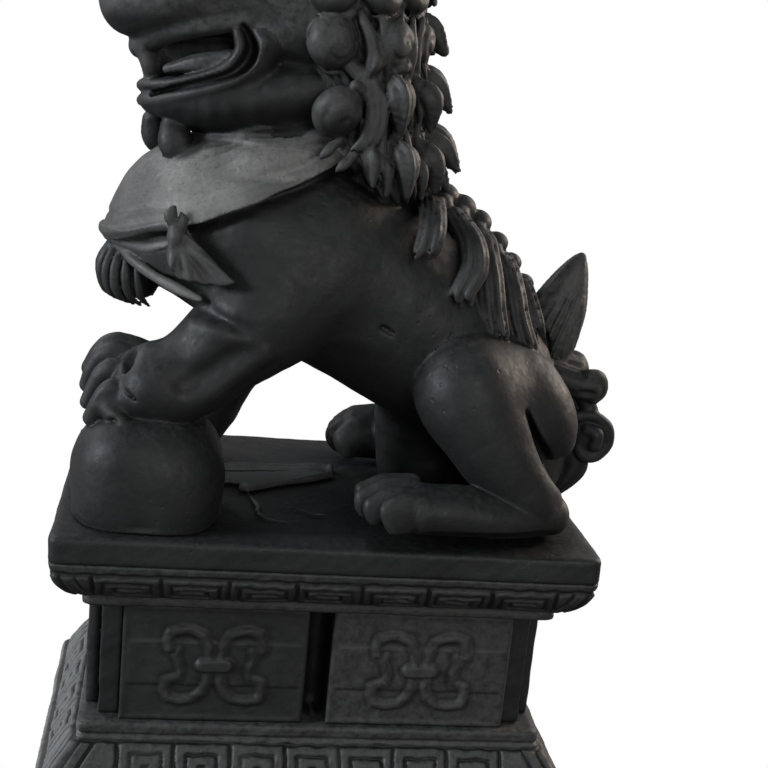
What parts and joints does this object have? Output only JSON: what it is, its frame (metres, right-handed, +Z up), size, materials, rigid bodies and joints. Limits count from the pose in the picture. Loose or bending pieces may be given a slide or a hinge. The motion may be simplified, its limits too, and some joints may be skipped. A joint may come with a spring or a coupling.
{
  "type": "guardian lion figurine",
  "caption": "Seated guardian lion with a forepaw on a ball, on a stepped plinth with key fret bands and scroll panels, in dark cast resin.",
  "frame": {"origin": "middle of the underside of the base felt, where the figurine rests", "axes": "+Z up, -X the way the lion faces, -Y its near side, with the paw on the ball"},
  "size_m": [0.1636, 0.106, 0.2686],
  "materials": {
    "cast_resin": "matte near-black cast resin with small air pinholes and greyish rubbed edges",
    "dusty_resin": "the same black resin under a film of pale dust",
    "base_felt": "thin dark green pressed felt",
    "steel_pin": "plain drawn steel rod"
  },
  "bodies": {
    "root": {"back_locks": "cast_resin", "ball": "cast_resin", "ball_ribbon": "cast_resin", "base_felt": "base_felt", "beard_left": "cast_resin", "beard_right": "cast_resin", "bib": "dusty_resin", "bow_left": "cast_resin", "bow_right": "cast_resin", "brow_left": "cast_resin", "brow_right": "cast_resin", "corner_post_front_left": "cast_resin", "corner_post_front_right": "cast_resin", "corner_post_rear_left": "cast_resin", "corner_post_rear_right": "cast_resin", "cornice": "cast_resin", "ear_left": "cast_resin", "ear_right": "cast_resin", "end_panel_left": "cast_resin", "end_panel_right": "cast_resin", "eye_left": "cast_resin", "eye_right": "cast_resin", "far_foreleg": "cast_resin", "far_hind_leg": "cast_resin", "foot_slab": "cast_resin", "front_foot_dowel": "steel_pin", "front_panel_left": "cast_resin", "front_panel_right": "cast_resin", "head": "cast_resin", "lower_jaw": "cast_resin", "lower_moulding": "cast_resin", "mane": "cast_resin", "near_foreleg": "cast_resin", "near_hind_leg": "cast_resin", "neck_dowel": "steel_pin", "nose": "cast_resin", "rear_foot_dowel": "steel_pin", "rear_panel_left": "cast_resin", "rear_panel_right": "cast_resin", "tail_lock": "cast_resin", "tail_plume": "cast_resin", "tail_roll_left": "cast_resin", "tail_roll_right": "cast_resin", "tassel": "cast_resin", "tongue": "cast_resin", "top_slab": "dusty_resin", "torso": "cast_resin", "waist_core": "cast_resin"}
  },
  "joints": []
}
